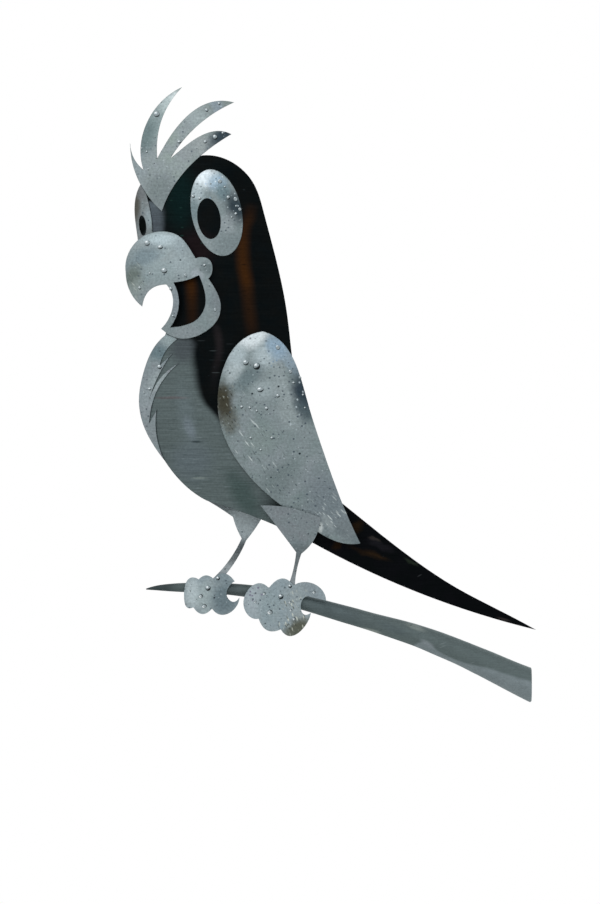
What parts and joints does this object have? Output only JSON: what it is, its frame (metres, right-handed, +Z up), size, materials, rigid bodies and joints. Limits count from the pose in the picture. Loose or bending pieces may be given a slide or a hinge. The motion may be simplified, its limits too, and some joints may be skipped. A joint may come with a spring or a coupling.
{
  "type": "parrot whirligig",
  "caption": "Sheet-metal cockatoo garden ornament on a tapered perch arm, with wings hinged at the shoulder so that they flap in the wind.",
  "frame": {"origin": "centre of the cut end face of the perch, where the arm is fastened", "axes": "+X out of the perch's cut end, +Z up, -Y the side that the bird shows"},
  "size_m": [0.3077, 0.0556, 0.4612],
  "materials": {
    "galvanised_plate": "brushed grey galvanised sheet with cast-in drops and pits",
    "painted_shell": "black and grey enamelled sheet with soft boundaries",
    "blackened_plate": "heat-blackened steel with brown streaks",
    "perch_steel": "hand-ground forged bar",
    "zinc_fasteners": "bright zinc plate",
    "bronze_bush": "turned bronze"
  },
  "bodies": {
    "root": {"perch": "perch_steel", "front_shell": "painted_shell", "back_shell": "painted_shell", "rim_band": "painted_shell", "body_spacers": "zinc_fasteners", "body_studs": "zinc_fasteners", "back_acorn_nuts": "zinc_fasteners", "crest_plate": "galvanised_plate", "near_eye_plate": "galvanised_plate", "far_eye_plate": "galvanised_plate", "beak_plate": "galvanised_plate", "beak_standoffs": "zinc_fasteners", "breast_bib": "galvanised_plate", "plate_studs": "zinc_fasteners", "plate_nuts": "zinc_fasteners", "tail_blade": "blackened_plate", "tail_spacers": "zinc_fasteners", "tail_bolts": "zinc_fasteners", "tail_nuts": "zinc_fasteners", "shoulder_axle": "zinc_fasteners", "shoulder_spacer": "zinc_fasteners", "near_shoulder_bush": "bronze_bush", "far_shoulder_bush": "bronze_bush", "axle_caps": "zinc_fasteners", "wing_limit_pins": "zinc_fasteners", "near_leg": "galvanised_plate", "far_leg": "galvanised_plate", "near_leg_standoffs": "zinc_fasteners", "far_leg_standoffs": "zinc_fasteners", "far_leg_screws": "zinc_fasteners", "far_leg_nuts": "zinc_fasteners", "near_foot": "galvanised_plate", "far_foot": "galvanised_plate", "near_rear_toes": "galvanised_plate", "far_rear_toes": "galvanised_plate", "foot_bolts": "zinc_fasteners", "foot_nuts": "zinc_fasteners", "ankle_rivets": "zinc_fasteners"},
    "near_wing": {"near_wing": "galvanised_plate", "near_wing_hub": "galvanised_plate"},
    "far_wing": {"far_wing": "galvanised_plate", "far_wing_hub": "galvanised_plate"}
  },
  "joints": [
    {"name": "near_wing_hinge", "type": "hinge", "parent": "root", "child": "near_wing", "pos_m": [-0.206, 0, 0.2385], "axis": [0, -1, 0], "range_deg": [0, 30]},
    {"name": "far_wing_hinge", "type": "hinge", "parent": "root", "child": "far_wing", "pos_m": [-0.206, 0, 0.2385], "axis": [0, -1, 0], "range_deg": [0, 30]}
  ]
}
